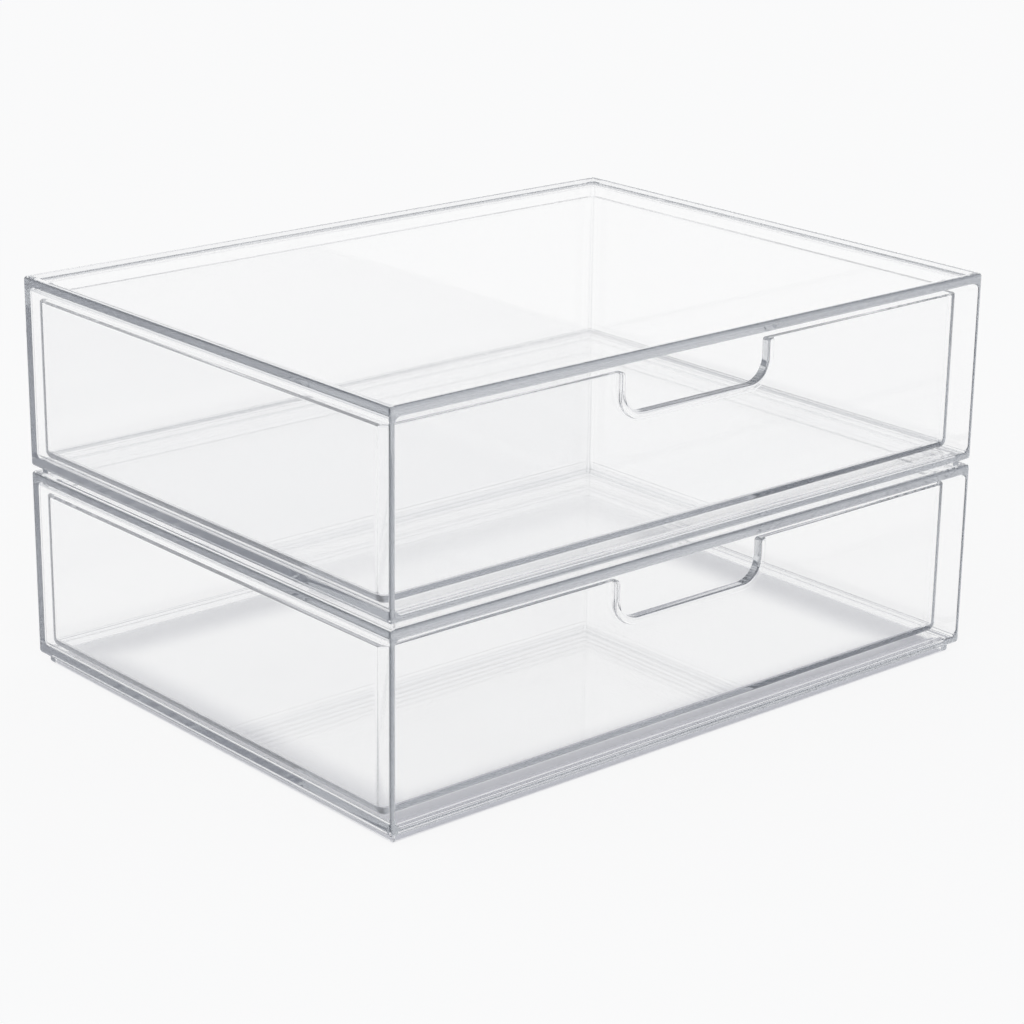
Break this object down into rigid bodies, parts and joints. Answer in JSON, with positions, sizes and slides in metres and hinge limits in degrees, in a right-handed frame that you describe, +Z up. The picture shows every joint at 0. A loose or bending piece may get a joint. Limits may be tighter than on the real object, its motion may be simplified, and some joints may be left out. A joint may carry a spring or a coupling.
{
  "type": "stackable drawer box",
  "caption": "Clear stacked drawer boxes: open-fronted cases with nesting rim and foot, each with a sliding tray that has a lipped finger cut-out.",
  "frame": {"origin": "middle of the base, where the lower unit's foot stands", "axes": "+Z up, the open fronts and drawer fronts face -Y, +X to the right of someone who faces the drawer fronts"},
  "size_m": [0.318, 0.243, 0.1702],
  "materials": {
    "case_clear": "clear, polished",
    "drawer_clear": "clear, polished"
  },
  "bodies": {
    "lower_case": {"lower_case": "case_clear"},
    "lower_drawer": {"lower_drawer": "drawer_clear"},
    "upper_case": {"upper_case": "case_clear"},
    "upper_drawer": {"upper_drawer": "drawer_clear"}
  },
  "joints": [
    {"name": "lower_drawer_slide", "type": "slide", "parent": "lower_case", "child": "lower_drawer", "axis": [0, -1, 0], "range_m": [0, 0.2]},
    {"name": "upper_unit_lift", "type": "slide", "parent": "lower_case", "child": "upper_case", "axis": [0, 0, 1], "range_m": [0, 0.06]},
    {"name": "upper_drawer_slide", "type": "slide", "parent": "upper_case", "child": "upper_drawer", "axis": [0, -1, 0], "range_m": [0, 0.2]}
  ]
}
